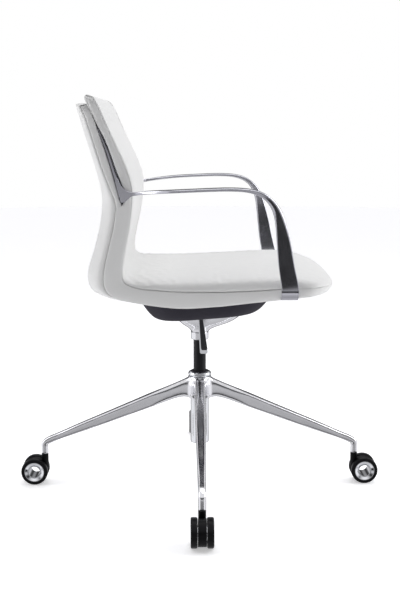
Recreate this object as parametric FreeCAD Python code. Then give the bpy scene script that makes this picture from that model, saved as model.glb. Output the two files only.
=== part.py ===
import FreeCAD, Part
import math
import os

# Swivel office chair: four-star castor base, gas lift, tilting seat with loop arms.
# Millimetres. +X is the way the sitter faces, +Z is up, and the origin is on the
# floor under the gas lift's axis. "side" is +1 on the sitter's left (+Y), -1 on the right.

V = FreeCAD.Vector
X_AXIS = V(1, 0, 0)
Y_AXIS = V(0, 1, 0)
Z_AXIS = V(0, 0, 1)
ORIGIN = V(0, 0, 0)
RUN_FIT = 0.05                # radial clearance of a shaft in its hole

# Castors
LEG_REACH = 354.0             # lift axis to castor stem axis
CASTOR_TRAIL = 22.5           # stem axis to wheel axle
WHEEL_R = 30.0
TYRE_INNER_R = 22.0
AXLE_TUBE_R = 14.6            # open sleeve that both wheels turn on
AXLE_BORE_R = 12.8
WHEEL_WIDTH = 13.5
FORK_WIDTH = 17.0             # black ring between the two wheels
FORK_R = 27.5
WHEEL_GAP = 0.8
SOCKET_R = 7.8
SOCKET_TOP = 68.0
STEM_R = 5.0
STEM_TOP = 86.0

# Base star
HUB_R = 26.0
HUB_BOTTOM = 198.0
HUB_TOP = 250.0
LEG_SLOPE = 0.432             # fall of the leg's top edge per unit of reach
LEG_ROOT_WIDTH = 27.0
KNUCKLE_R = 8.5               # middle line of the bend at the leg's end
KNUCKLE_Z = 89.0
WEB_FILLET_R = 26.0

# Gas lift
TUBE_R = 21.0
TUBE_WALL = 2.0
TUBE_BOTTOM = 95.0
TUBE_TOP = 252.0
RING_MAJOR_R = 20.6
RING_MINOR_R = 5.6
RING_Z = 255.4
COLLAR_BRIM_R = 19.5           # brim of the black collar, which lies over the ring's top
CYLINDER_R = 14.0
CYLINDER_WALL = 2.0
CYLINDER_BOTTOM = 166.0
CYLINDER_TOP = 398.0
ROD_R = 5.0
ROD_HEAD_Z = 226.0

# Mechanism
CUP_R = 20.0
CUP_BOTTOM = 335.0
HOUSING_DECK = 398.0
HOUSING_BACK_X = -58.0
HOUSING_FRONT_X = 98.0
HOUSING_HALF_Y = 45.0
HOUSING_WALL = 7.0
TILT_X = 45.0
TILT_Z = 418.0
TILT_PIN_R = 6.0
PLATE_BOTTOM = 430.5
PLATE_THICK = 4.0
BOLT_X = (-62, 108)
BOLT_Y = 62
BOLT_R = 3.0
LEVER_Y = -41.5               # lever's pivot, in the housing's right wall
LEVER_Z = 406.4
PADDLE_Y = -120.0

# Under-seat pan
PAN_BOTTOM = 411.0
PAN_PITCH = 4.4               # degrees, front up
PAN_WALL = 4.0

# Upholstery
HALF_WIDTH = 238.0
BOARD_HALF_WIDTH = 205.0
BOARD_THICK = 7.0
SLOT_FLOOR_Y = 226.0          # depth of the slot in the back's side

# Arms
ARM_HALF_SPAN = 292.0
FOOT_Y = 261.0
TAB_THICK = 5.4
TAB_BOTTOM = 464.0
FOOT_BEND_Z = 487.0            # where the leg starts to turn under the seat
FOOT_HALF = 17.0
TAB_END_Y = -205.0              # inner end of the right arm's foot
ROOT_Y = 238.6                # inner face of the arm where it lies over the back's side
ARM_SCREW_X = (165.0, 179.0)
ARM_SCREW_Y = 222.0


def save(name, shape):
    """Write one sub-part, refusing anything that isn't made of valid solids."""
    if not shape.Solids or not shape.isValid():
        raise ValueError("bad solid in " + name)
    shape.exportStep("parts/" + name + ".step")


def cylinder(radius, low, high, x=0.0, y=0.0):
    return Part.makeCylinder(radius, high - low, V(x, y, low))


def cylinder_y(radius, low, high, x, z):
    return Part.makeCylinder(radius, high - low, V(x, low, z), Y_AXIS)


def cylinder_x(radius, x, half, y, z):
    return Part.makeCylinder(radius, 2 * half, V(x - half, y, z), X_AXIS)


def ring(outer, inner, low, high, x=0.0, y=0.0):
    return cylinder(outer, low, high, x, y).cut(cylinder(inner, low - 1, high + 1, x, y))


def box(low, high):
    size = [b - a for a, b in zip(low, high)]
    return Part.makeBox(size[0], size[1], size[2], V(*low))


def largest(shape):
    """The main solid of a cut, without the thin crumbs that it may leave."""
    return max(shape.Solids, key=lambda solid: solid.Volume)


def curve(points):
    """Smooth edge through a few points."""
    spline = Part.BSplineCurve()
    spline.interpolate([V(*p) for p in points])
    return spline.toShape()


def line(a, b):
    return Part.makeLine(V(*a), V(*b))


def in_side_plane(points, y):
    """Turn (x, z) pairs into points of the upright plane at this y."""
    return [(x, y, z) for x, z in points]


def slab(face, low_y, high_y):
    """Extrude a face drawn in the plane y = 0 between two values of y."""
    moved = face.copy()
    moved.translate(V(0, low_y, 0))
    return moved.extrude(V(0, high_y - low_y, 0))


def polygon_face(points):
    corners = [V(*p) for p in points]
    return Part.Face(Part.makePolygon(corners + [corners[0]]))


def band_wire(front, rear, y):
    """Closed outline between two smooth lines that run the same way."""
    a = in_side_plane(front, y)
    b = in_side_plane(rear, y)
    edges = [curve(a), line(a[-1], b[-1]), curve(b[::-1]), line(b[0], a[0])]
    return Part.Wire(edges)


def around(shape, count=4):
    """Copies of a shape turned evenly about the lift's axis."""
    copies = []
    for index in range(count):
        turned = shape.copy()
        turned.rotate(ORIGIN, Z_AXIS, index * 360.0 / count)
        copies.append(turned)
    return copies


def mirrored(shape, side):
    """The right-hand piece as drawn, or its left-hand twin."""
    if side < 0:
        return shape
    return shape.mirror(ORIGIN, Y_AXIS)


# ---------------------------------------------------------------- base


def section(x, z, pitch, height, width, upper_r, lower_r, y=0.0):
    """Rounded rectangle square to a path that heads at this pitch in the plane of X and Z."""
    a = math.radians(pitch)
    up = V(-math.sin(a), 0, math.cos(a))
    centre = V(x, y, z)
    half_h = height / 2
    half_w = width / 2

    def at(v, u):
        return centre + Y_AXIS * v + up * u

    corners = [(1, 1, upper_r), (-1, 1, upper_r), (-1, -1, lower_r), (1, -1, lower_r)]
    arcs = []
    for index, (sv, su, r) in enumerate(corners):
        v = sv * (half_w - r)
        u = su * (half_h - r)
        bulge = r * math.sqrt(0.5)
        end_v = at(sv * half_w, u)
        end_u = at(v, su * half_h)
        middle = at(v + sv * bulge, u + su * bulge)
        first, last = (end_v, end_u) if index % 2 == 0 else (end_u, end_v)
        arcs.append((first, middle, last))
    edges = []
    for index, (first, middle, last) in enumerate(arcs):
        edges.append(Part.Arc(first, middle, last).toShape())
        edges.append(Part.makeLine(last, arcs[(index + 1) % 4][0]))
    return Part.Wire(edges)


def leg():
    """Tapered leg along +X, whose end bends down into the castor's socket tube."""
    wires = []
    for x, low, high, width in ((22, 203, 247.5, 27), (45, 201, 237, 26.4), (75, 191.5, 224, 25.4),
                                (107, 180, 210.4, 24.4), (199, 146, 170.7, 20.8), (291, 113, 131, 17.2),
                                (332, 97.5, 113, 15.8)):
        wires.append(section(x, (low + high) / 2, 0, high - low, width, 4.0, 1.5))
    slope = -math.degrees(math.atan(LEG_SLOPE))
    bend_x = LEG_REACH - KNUCKLE_R
    for turn, height, corner in ((0.0, 14.4, 4.2), (0.5, 14.8, 6.0), (1.0, 2 * SOCKET_R, SOCKET_R - 0.1)):
        pitch = slope + turn * (-90 - slope)
        out = math.radians(pitch + 90)
        wires.append(section(bend_x + KNUCKLE_R * math.cos(out), KNUCKLE_Z + KNUCKLE_R * math.sin(out), pitch,
                             height, 2 * SOCKET_R, corner, corner))
    socket = ring(SOCKET_R + 0.05, STEM_R + RUN_FIT, SOCKET_TOP, STEM_TOP + 0.5, LEG_REACH)
    socket = socket.fuse(cylinder(SOCKET_R + 0.05, STEM_TOP + 0.5, KNUCKLE_Z, LEG_REACH))
    return Part.makeLoft(wires, True, False).fuse(socket)


def web():
    """Concave web that fills the corner between two legs at the hub."""
    half = LEG_ROOT_WIDTH / 2 - 0.5
    far = half + WEB_FILLET_R
    middle = far - WEB_FILLET_R * math.sqrt(0.5)
    arc = Part.Arc(V(far, half, 0), V(middle, middle, 0), V(half, far, 0)).toShape()
    edges = [line((0, 0, 0), (far, 0, 0)), line((far, 0, 0), (far, half, 0)), arc,
             line((half, far, 0), (0, far, 0)), line((0, far, 0), (0, 0, 0))]
    prism = Part.Face(Part.Wire(edges)).extrude(V(0, 0, 34))
    prism.translate(V(0, 0, HUB_BOTTOM + 4))
    return prism


def base_star():
    star = cylinder(HUB_R, HUB_BOTTOM, HUB_TOP)
    for piece in around(leg()) + around(web()):
        star = star.fuse(piece)
    return star.cut(cylinder(TUBE_R + RUN_FIT, HUB_BOTTOM - 5, HUB_TOP + 5))


def hub_ring():
    """Polished rounded ring that crowns the hub."""
    torus = Part.makeTorus(RING_MAJOR_R, RING_MINOR_R, V(0, 0, RING_Z))
    return torus.cut(cylinder(RING_MAJOR_R + 10, HUB_TOP - 20, TUBE_TOP)).cut(
        cylinder(RING_MAJOR_R - 3, HUB_TOP - 20, RING_Z + 10))


def lift_tube():
    """Outer tube of the gas lift: closed bottom with a rounded rim and a hole for the rod."""
    outer = cylinder(TUBE_R, TUBE_BOTTOM, TUBE_TOP)
    outer = outer.makeFillet(3.0, [e for e in outer.Edges if abs(e.CenterOfMass.z - TUBE_BOTTOM) < 0.1])
    hollow = cylinder(TUBE_R - TUBE_WALL, TUBE_BOTTOM + 3, TUBE_TOP + 1)
    hole = cylinder(ROD_R + RUN_FIT, TUBE_BOTTOM - 1, TUBE_BOTTOM + 4)
    return outer.cut(hollow).cut(hole)


def dust_collar():
    """Black cap ring that closes the gap between the tube and the sliding cylinder."""
    top = RING_Z + 7
    cone = Part.makeCone(RING_MAJOR_R - 3.1, CYLINDER_R + 1.0, top - TUBE_TOP, V(0, 0, TUBE_TOP))
    brim = cylinder(COLLAR_BRIM_R, RING_Z + RING_MINOR_R + 0.2, top)
    return cone.fuse(brim).cut(cylinder(CYLINDER_R + 0.08, TUBE_TOP - 1, top + 1))


def build_base():
    save("base_star", base_star())
    save("hub_ring", hub_ring())
    save("lift_tube", lift_tube())
    save("dust_collar", dust_collar())
    save("guide_bush", ring(TUBE_R - TUBE_WALL, CYLINDER_R + RUN_FIT, 200, TUBE_TOP))


def build_castor(index):
    """Twin-wheel castor with an open centre, trailing away from the chair."""
    name = "castor_%d_" % (index + 1)
    axle_x = LEG_REACH + CASTOR_TRAIL
    half_fork = FORK_WIDTH / 2
    outer_y = half_fork + WHEEL_GAP + WHEEL_WIDTH

    disc = cylinder_y(FORK_R, -half_fork, half_fork, axle_x, WHEEL_R)
    neck = cylinder(SOCKET_R, WHEEL_R, SOCKET_TOP - 0.4, LEG_REACH)
    fork = disc.fuse(neck).cut(cylinder_y(AXLE_TUBE_R, -half_fork - 1, half_fork + 1, axle_x, WHEEL_R))
    below_neck = cylinder_y(WHEEL_R - 1.5, -40, 40, axle_x, WHEEL_R)
    over_wheels = [box((axle_x - 40, s, 0), (axle_x + 40, s + 30, 90)) for s in (half_fork, -half_fork - 30)]
    for block in over_wheels:
        fork = fork.cut(block)
    fork = fork.cut(box((axle_x - 60, -40, -5), (axle_x + 60, 40, 1.5)).common(below_neck))
    fork = fork.cut(cylinder(STEM_R, WHEEL_R + 20, SOCKET_TOP, LEG_REACH))

    stem = cylinder(STEM_R, WHEEL_R + 20, STEM_TOP, LEG_REACH)
    sleeve = cylinder_y(AXLE_TUBE_R, -outer_y + 1.5, outer_y - 1.5, axle_x, WHEEL_R)
    sleeve = sleeve.cut(cylinder_y(AXLE_BORE_R, -outer_y, outer_y, axle_x, WHEEL_R))

    pieces = {"fork": fork, "stem": stem, "sleeve": sleeve}
    for label, sign in (("left", 1), ("right", -1)):
        inner = sign * (half_fork + WHEEL_GAP)
        low, high = sorted((inner, sign * outer_y))
        tyre = cylinder_y(WHEEL_R, low, high, axle_x, WHEEL_R)
        tyre = tyre.cut(cylinder_y(TYRE_INNER_R, low - 1, high + 1, axle_x, WHEEL_R))
        shoulders = [e for e in tyre.Edges if len(e.Vertexes) == 1
                     and e.BoundBox.XLength > 2 * WHEEL_R - 1]
        tyre = tyre.makeFillet(3.2, shoulders)
        rim = cylinder_y(TYRE_INNER_R, low, high, axle_x, WHEEL_R)
        rim = rim.cut(cylinder_y(AXLE_TUBE_R + RUN_FIT, low - 1, high + 1, axle_x, WHEEL_R))
        dish = Part.makeCone(AXLE_TUBE_R + 0.5, TYRE_INNER_R - 1.2, 3.0,
                             V(axle_x, sign * (outer_y - 3.0), WHEEL_R), V(0, sign, 0))
        pieces["tyre_" + label] = tyre
        pieces["rim_" + label] = rim.cut(dish)
    for label, shape in pieces.items():
        shape.rotate(ORIGIN, Z_AXIS, 90.0 * index)
        save(name + label, shape)


# ---------------------------------------------------------------- gas lift and mechanism


def gas_cylinder():
    """Pressure tube of the lift: closed above, plugged below around the rod."""
    outer = cylinder(CYLINDER_R, CYLINDER_BOTTOM, CYLINDER_TOP)
    inside = cylinder(CYLINDER_R - CYLINDER_WALL, CYLINDER_BOTTOM + 12, CYLINDER_TOP - 26)
    rod_hole = cylinder(ROD_R + RUN_FIT, CYLINDER_BOTTOM - 1, CYLINDER_BOTTOM + 13)
    valve_hole = cylinder(3.0 + RUN_FIT, CYLINDER_TOP - 20, CYLINDER_TOP + 1)
    return outer.cut(inside).cut(rod_hole).cut(valve_hole)


def piston_rod():
    shaft = cylinder(ROD_R, TUBE_BOTTOM - 4, ROD_HEAD_Z + 10)
    head = cylinder(CYLINDER_R - CYLINDER_WALL - RUN_FIT, ROD_HEAD_Z, ROD_HEAD_Z + 8)
    return shaft.fuse(head)


def oval_wire(centre_x, half_x, half_y, z, power=2.6):
    """Closed smooth outline between an ellipse and a rectangle."""
    points = []
    steps = 24
    for step in range(steps):
        turn = 2 * math.pi * step / steps
        c = math.cos(turn)
        s = math.sin(turn)
        x = centre_x + half_x * math.copysign(abs(c) ** (2 / power), c)
        y = half_y * math.copysign(abs(s) ** (2 / power), s)
        points.append(V(x, y, z))
    spline = Part.BSplineCurve()
    spline.interpolate(points, PeriodicFlag=True)
    return Part.Wire(spline.toShape())


def housing_outside():
    """Cup round the cylinder that flares into a boat-shaped body under the seat."""
    cup = cylinder(CUP_R, CUP_BOTTOM, CUP_BOTTOM + 16)
    cup = cup.makeFillet(2.5, [e for e in cup.Edges if abs(e.CenterOfMass.z - CUP_BOTTOM) < 0.1])
    levels = [(0.0, 18.0, 18.0, 347.0, 2.0), (1.0, 23.0, 20.0, 357.0, 2.1), (7.0, 44.0, 28.0, 368.5, 2.3),
              (15.5, 65.0, 37.0, 382.0, 2.6), (20.0, 78.0, HOUSING_HALF_Y, HOUSING_DECK, 3.2)]
    wires = [oval_wire(cx, hx, hy, z, power) for cx, hx, hy, z, power in levels]
    flare = Part.makeLoft(wires, True, False)
    return cup.fuse(flare)


def tilt_housing():
    """Polished casting on top of the lift, hollow above its deck for the tilt parts."""
    body = housing_outside()
    high = PLATE_BOTTOM - 5
    rise = (high - 404.0) / (TILT_X - HOUSING_BACK_X)
    side = [(HOUSING_BACK_X, 0, HOUSING_DECK - 3), (HOUSING_FRONT_X, 0, HOUSING_DECK - 3),
            (HOUSING_FRONT_X, 0, high), (TILT_X, 0, high),
            (HOUSING_BACK_X, 0, high - rise * (TILT_X - HOUSING_BACK_X))]
    walls = slab(polygon_face(side), -HOUSING_HALF_Y, HOUSING_HALF_Y)
    upright = [e for e in walls.Edges if e.BoundBox.ZLength > 5 and e.BoundBox.YLength < 1
               and e.BoundBox.XLength < 1]
    walls = walls.makeFillet(14.0, upright)
    body = body.fuse(walls)
    pocket = box((HOUSING_BACK_X + HOUSING_WALL, -HOUSING_HALF_Y + HOUSING_WALL, HOUSING_DECK),
                 (HOUSING_FRONT_X - HOUSING_WALL, HOUSING_HALF_Y - HOUSING_WALL, high + 10))
    body = body.cut(pocket)
    body = body.cut(cylinder(CYLINDER_R, CUP_BOTTOM - 5, HOUSING_DECK + 5))
    body = body.cut(cylinder_y(TILT_PIN_R, -60, 60, TILT_X, TILT_Z))
    slot = box((-7, -HOUSING_HALF_Y - 5, HOUSING_DECK), (7, -HOUSING_HALF_Y + HOUSING_WALL + 5, 413))
    body = body.cut(slot)
    pin_hole = Part.makeCylinder(2.0, 28, V(-14, LEVER_Y, LEVER_Z), X_AXIS)
    return body.cut(pin_hole)


def torsion_bushes():
    """Two rubber sleeves pressed on the tilt pin, which push the seat upright again."""
    bushes = []
    for side in (-1, 1):
        low, high = sorted((side * 8.0, side * 37.0))
        sleeve = cylinder_y(11.5, low, high, TILT_X, TILT_Z)
        bushes.append(sleeve.cut(cylinder_y(TILT_PIN_R, low - 1, high + 1, TILT_X, TILT_Z)))
    return Part.makeCompound(bushes)


def lever_arm():
    """Bar over the valve, a pivot boss in the wall and a round rod out to the paddle."""
    bar = box((-4, LEVER_Y, LEVER_Z - 2.0), (4, 4, LEVER_Z + 2.0))
    boss = Part.makeCylinder(4.6, 13, V(-6.5, LEVER_Y, LEVER_Z), X_AXIS)
    rod = cylinder_y(3.5, PADDLE_Y + 2.0, LEVER_Y, 0, LEVER_Z)
    arm = bar.fuse(boss).fuse(rod)
    return arm.cut(Part.makeCylinder(2.0 + RUN_FIT, 30, V(-15, LEVER_Y, LEVER_Z), X_AXIS))


def paddle_outline(inset_left, inset_bottom, inset_right):
    """Paddle seen from the side: narrow above, wide below, leaning forward."""
    top = LEVER_Z + 4.5
    bottom = 328.0 + inset_bottom
    return [(-5.5 + inset_left, 0, top), (4.5 - inset_right, 0, top),
            (15.5 - inset_right, 0, bottom + 3), (13.5 - inset_right, 0, bottom),
            (1.0 + inset_left, 0, bottom), (-1.0 + inset_left, 0, bottom + 3)]


def build_lever():
    rim = slab(polygon_face(paddle_outline(0, 0, 0)), PADDLE_Y - 3.5, PADDLE_Y + 2.0)
    grip = slab(polygon_face(paddle_outline(2.2, 8.0, 0.6)), PADDLE_Y - 5.0, PADDLE_Y - 1.0)
    rim = rim.cut(slab(polygon_face(paddle_outline(2.2, 8.0, 0.6)), PADDLE_Y - 6.0, PADDLE_Y - 1.0))
    save("lever_arm", lever_arm())
    save("lever_paddle_frame", rim)
    save("lever_paddle_grip", grip)
    save("lever_pin", Part.makeCylinder(2.0, 26, V(-13, LEVER_Y, LEVER_Z), X_AXIS))


def build_lift():
    save("piston_rod", piston_rod())
    save("thrust_bearing", ring(12.0, ROD_R, TUBE_BOTTOM + 3.05, TUBE_BOTTOM + 8))
    save("rod_clip", ring(9.0, ROD_R, TUBE_BOTTOM - 2, TUBE_BOTTOM - 0.4))
    save("gas_cylinder", gas_cylinder())
    save("valve_pin", cylinder(3.0, CYLINDER_TOP - 14, LEVER_Z - 2.4))
    save("tilt_housing", tilt_housing())
    save("torsion_bushes", torsion_bushes())
    save("tilt_pin", cylinder_y(TILT_PIN_R, -54, 54, TILT_X, TILT_Z))


# ---------------------------------------------------------------- seat and back

# Lines in the upright plane through the chair, as (x, z). The back's lines run from its top
# down to the crease, and the seat's lines from the crease forward to the front edge.
BACK_FRONT = [(-210, 862), (-189, 813), (-153, 737), (-137, 665), (-143, 611), (-155, 545), (-160, 508)]
BACK_MIDDLE = [(-228, 868), (-207, 800), (-181, 730), (-166, 660), (-172, 605), (-186, 545), (-192, 500)]
SEAT_TOP = [(-160, 508), (-100, 505), (0, 507), (110, 513), (200, 514), (250, 503), (278, 484)]
SEAT_MIDDLE = [(-192, 500), (-170, 473), (-100, 462), (0, 458), (110, 464), (200, 474), (286, 477)]
# Outer surface of the shell along its two sides, and along its middle.
SHELL_SIDE = [(-243, 845), (-218, 800), (-190, 725), (-172, 660), (-177, 608), (-193, 545), (-202, 508),
              (-193, 478), (-160, 459), (-100, 448), (0, 447), (110, 458), (200, 466), (262, 472)]
SHELL_MIDDLE = [(-253, 850), (-238, 795), (-216, 725), (-206, 660), (-210, 603), (-227, 543), (-240, 498),
                (-224, 468), (-180, 449), (-100, 441), (0, 441), (110, 452), (200, 460), (284, 471)]
# Slot in each side of the back, where the arm's blade goes in between pad and shell.
SLOT = [(-203, 803), (-187.3, 757), (-174.8, 714), (-168.5, 693), (-163.5, 675), (-158.5, 656),
        (-150, 656), (-150, 680), (-157.5, 693), (-165.3, 714), (-178, 757), (-199, 803)]
# Arm's blade inside the slot, and its root over the back's side.
BLADE = [(-201.5, 801), (-185.5, 757), (-173, 714), (-166.8, 693), (-161.9, 675), (-157.8, 658.5),
         (-151.5, 658.5), (-151.5, 680), (-159, 693), (-168.5, 714), (-181.5, 757), (-200, 801)]
ROOT_REAR = [(-169, 702), (-166.8, 693), (-161.9, 675), (-157.8, 658.5)]
ROOT_UNDER = [(-157.8, 658.5), (-149, 661), (-139.5, 668.5), (-126, 672.5)]
ROOT_TOP = [(-126, 678.5), (-141, 679.8), (-150.5, 684.5), (-158, 693.5), (-163.5, 706)]


def flat_points(points):
    return [(x, 0, z) for x, z in points]


def shifted(points, dx, dz):
    return [(x + dx, z + dz) for x, z in points]


def seat_plan():
    """Upright prism over the seat's outline: straight sides and a rounded front."""
    right = [(150, -HALF_WIDTH, 0), (215, -234, 0), (249, -216, 0), (266, -190, 0), (282, -110, 0), (289, 0, 0)]
    left = [(x, -y, z) for x, y, z in right]
    rear = -300
    edges = [line((rear, -HALF_WIDTH, 0), right[0]), curve(right + left[-2::-1]),
             line(left[0], (rear, HALF_WIDTH, 0)), line((rear, HALF_WIDTH, 0), (rear, -HALF_WIDTH, 0))]
    return Part.Face(Part.Wire(edges)).extrude(V(0, 0, 1000))


def shell_blank():
    """Bent shell, thicker in the middle than at its sides. It reaches a little into the pads."""
    reach = 4
    inner = shifted(BACK_MIDDLE[:-1], reach, 0) + [(-186, 500)] + shifted(SEAT_MIDDLE[1:], 0, reach)
    wires = []
    for y, share in ((-HALF_WIDTH, 0.0), (-150, 0.8), (0, 1.0), (150, 0.8), (HALF_WIDTH, 0.0)):
        outer = []
        for (side_x, side_z), (middle_x, middle_z) in zip(SHELL_SIDE, SHELL_MIDDLE):
            outer.append((side_x + share * (middle_x - side_x), side_z + share * (middle_z - side_z)))
        wires.append(band_wire(inner, outer, y))
    return Part.makeLoft(wires, True, False)


def board(line_points, dx, dz, limits):
    """Stiff layer of even thickness that lies along a middle line, within a box."""
    layer = Part.Face(band_wire(line_points, shifted(line_points, dx, dz), 0))
    return slab(layer, -BOARD_HALF_WIDTH, BOARD_HALF_WIDTH).common(limits)


def seat_plate():
    """Steel plate under the seat, with two ears that hang on the tilt pin."""
    plate = box((-85, -78, PLATE_BOTTOM + 1), (132, 78, PLATE_BOTTOM + 1 + PLATE_THICK))
    plate = plate.makeFillet(16.0, [e for e in plate.Edges if e.BoundBox.ZLength > 1])
    plate.rotate(V(-85, 0, PLATE_BOTTOM), Y_AXIS, -PAN_PITCH)
    for low, high in ((-51, -46), (46, 51)):
        ear = box((TILT_X - 16, low, TILT_Z), (TILT_X + 16, high, PLATE_BOTTOM + 12))
        ear = ear.fuse(cylinder_y(16, low, high, TILT_X, TILT_Z))
        plate = plate.fuse(ear)
    for x in BOLT_X:
        for y in (-BOLT_Y, BOLT_Y):
            plate = plate.cut(cylinder(BOLT_R + 0.4, PLATE_BOTTOM - 5, PLATE_BOTTOM + 30, x, y))
    return plate.cut(cylinder_y(TILT_PIN_R + RUN_FIT, -60, 60, TILT_X, TILT_Z))


def plate_bolts():
    bolts = []
    for x in BOLT_X:
        for y in (-BOLT_Y, BOLT_Y):
            under = PLATE_BOTTOM + 1 + (x + 85) * math.tan(math.radians(PAN_PITCH))
            head = cylinder(6.0, under - 4.5, under - 0.6, x, y)
            bolts.append(head.fuse(cylinder(BOLT_R, under - 1, under + 24, x, y)))
    return Part.makeCompound(bolts)


def pan():
    """Shallow black tray that hides the seat plate, open where the housing comes through."""
    levels = [(12.5, 109.5, 192, 0), (13, 118, 204, 3), (14.5, 127.5, 212, 12), (16.5, 139.5, 217, 28),
              (18, 148, 219, 44)]
    outer = [oval_wire(cx, hx, hy, PAN_BOTTOM + dz, 4) for cx, hx, hy, dz in levels]
    inner = [oval_wire(cx, hx - PAN_WALL, hy - PAN_WALL, PAN_BOTTOM + PAN_WALL + dz, 4) for cx, hx, hy, dz in levels]
    tray = Part.makeLoft(outer, True, False).cut(Part.makeLoft(inner, True, False))
    tray = tray.cut(box((-78, -60, 380), (114, 60, PAN_BOTTOM + PAN_WALL + 10)))
    tray = tray.cut(box((-16, -140, 380), (24, -55, PAN_BOTTOM + PAN_WALL + 10)))
    tray.rotate(V(-60, 0, PAN_BOTTOM), Y_AXIS, -PAN_PITCH)
    return tray


def right_arm():
    """Loop arm: blade in the back's slot, flat armrest, front leg and a foot that turns under the seat."""
    # x, distance from the middle, z, pitch, size across the path, size in y
    stations = [(-134, 243.5, 675.3, 10, 7.5, 8), (-122, 247.5, 677, 7, 6.6, 12), (-108, 255, 678.8, 5, 6.2, 20),
                (-90, 267, 680.6, 4, 5.8, 29), (-60, 284, 683, 3, 5.5, 36), (0, ARM_HALF_SPAN, 686, 2, 5.5, 38),
                (60, ARM_HALF_SPAN, 687.3, -1, 6, 38), (92, 291, 684.5, -11, 7, 35), (115, 289, 677, -28, 9.5, 30),
                (134, 286, 662, -53, 13, 24), (146.5, 283, 641, -67, 17.5, 18), (155, 279, 609, -76, 23, 13),
                (161.5, 273, 571, -80, 29, 10), (167.5, 267, 532, -81, 32, 8), (173, 263, 505, -84, 33.5, 6.5),
                (175.5, FOOT_Y, FOOT_BEND_Z, -90, 2 * FOOT_HALF, TAB_THICK)]
    wires = []
    for x, distance, z, pitch, across, wide in stations:
        corner = 0.3 * min(across, wide)
        wires.append(section(x, z, pitch, across, wide, corner, corner, -distance))
    arm = Part.makeLoft(wires, True, False)
    foot_x = stations[-1][0]
    outer_y = FOOT_Y + TAB_THICK / 2
    outer_r = FOOT_BEND_Z - TAB_BOTTOM
    bend_y = outer_y - outer_r
    bend = cylinder_x(outer_r, foot_x, FOOT_HALF, -bend_y, FOOT_BEND_Z)
    bend = bend.cut(cylinder_x(outer_r - TAB_THICK, foot_x, FOOT_HALF + 1, -bend_y, FOOT_BEND_Z))
    quarter = box((foot_x - 30, -outer_y - 1, TAB_BOTTOM - 1), (foot_x + 30, -bend_y, FOOT_BEND_Z))
    foot = bend.common(quarter)
    tab_low = (foot_x - FOOT_HALF, -bend_y, TAB_BOTTOM)
    tab_high = (foot_x + FOOT_HALF, TAB_END_Y, TAB_BOTTOM + TAB_THICK)
    foot = foot.fuse(box(tab_low, tab_high))
    face = polygon_face(flat_points(BLADE))
    blade = slab(face, -236.0, -230.5)
    neck = slab(face, -ROOT_Y - 0.5, -230.5).common(box((-175, -245, 650), (-140, -230, 698)))
    edges = [curve(flat_points(ROOT_REAR)), curve(flat_points(ROOT_UNDER)),
             line((-126, 0, 672.5), (-126, 0, 678.5)), curve(flat_points(ROOT_TOP)),
             line((-163.5, 0, 706), (-169, 0, 702))]
    root = slab(Part.Face(Part.Wire(edges)), -ROOT_Y - 5.0, -ROOT_Y)
    outside = [e for e in root.Edges if e.BoundBox.YMax < -ROOT_Y - 4.0]
    root = root.makeFillet(0.8, outside)
    blade = root.fuse(neck).fuse(blade)
    arm = arm.fuse(foot).fuse(blade)
    for x in ARM_SCREW_X:
        arm = arm.cut(cylinder(2.5, TAB_BOTTOM - 1, TAB_BOTTOM + TAB_THICK + 1, x, -ARM_SCREW_Y))
    return arm


def arm_screws():
    """Two screws under each foot, up into the seat's board."""
    screws = []
    for side in (-1, 1):
        for x in ARM_SCREW_X:
            y = side * ARM_SCREW_Y
            head = cylinder(4.5, TAB_BOTTOM - 3, TAB_BOTTOM, x, y)
            screws.append(head.fuse(cylinder(2.5, TAB_BOTTOM - 1, TAB_BOTTOM + 18, x, y)))
    return Part.makeCompound(screws)


def build_seat():
    plan = seat_plan()
    back_pad = slab(Part.Face(band_wire(BACK_FRONT, BACK_MIDDLE, 0)), -HALF_WIDTH, HALF_WIDTH)
    seat_pad = slab(Part.Face(band_wire(SEAT_TOP, SEAT_MIDDLE, 0)), -HALF_WIDTH, HALF_WIDTH).common(plan)
    back_board = board(BACK_MIDDLE, -BOARD_THICK, 0, box((-300, -300, 530), (0, 300, 825)))
    seat_board = board(SEAT_MIDDLE, 0, -BOARD_THICK, box((-120, -300, 400), (230, 300, 600)))
    shell = shell_blank().common(plan)
    plate = seat_plate()
    bolts = plate_bolts()
    screws = arm_screws()
    arm = right_arm()
    left_arm = mirrored(arm, 1)
    for cutter in (back_pad, seat_pad, back_board, seat_board, plate, bolts, screws):
        shell = shell.cut(cutter)
    slot = slab(polygon_face(flat_points(SLOT)), -HALF_WIDTH - 1, -SLOT_FLOOR_Y)
    foot_pocket = box((158, -HALF_WIDTH - 1, TAB_BOTTOM - 10), (193, -204.5, TAB_BOTTOM + TAB_THICK))
    for side in (-1, 1):
        shell = shell.cut(mirrored(slot, side)).cut(mirrored(foot_pocket, side))
        back_pad = back_pad.cut(mirrored(slot, side))
    seat_board = seat_board.cut(bolts).cut(screws)
    seat_pad = seat_pad.cut(bolts).cut(screws)
    trim = slab(polygon_face(flat_points(SLOT)), -230.3, -SLOT_FLOOR_Y)
    tray = pan().cut(shell_blank()).cut(plate).cut(bolts)
    save("back_cushion", back_pad)
    save("seat_cushion", seat_pad)
    save("back_board", back_board)
    save("seat_board", seat_board)
    save("outer_shell", largest(shell))
    save("seat_plate", plate)
    save("plate_bolts", bolts)
    save("under_seat_pan", largest(tray))
    save("arm_right", arm)
    save("arm_left", left_arm)
    save("slot_trim_right", trim)
    save("slot_trim_left", mirrored(trim, 1))
    save("arm_screws", screws)


def main():
    os.makedirs("parts", exist_ok=True)
    build_base()
    for index in range(4):
        build_castor(index)
    build_lift()
    build_lever()
    build_seat()


main()
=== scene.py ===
"""Upholstery, finishes and studio for a swivel office chair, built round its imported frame."""

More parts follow.
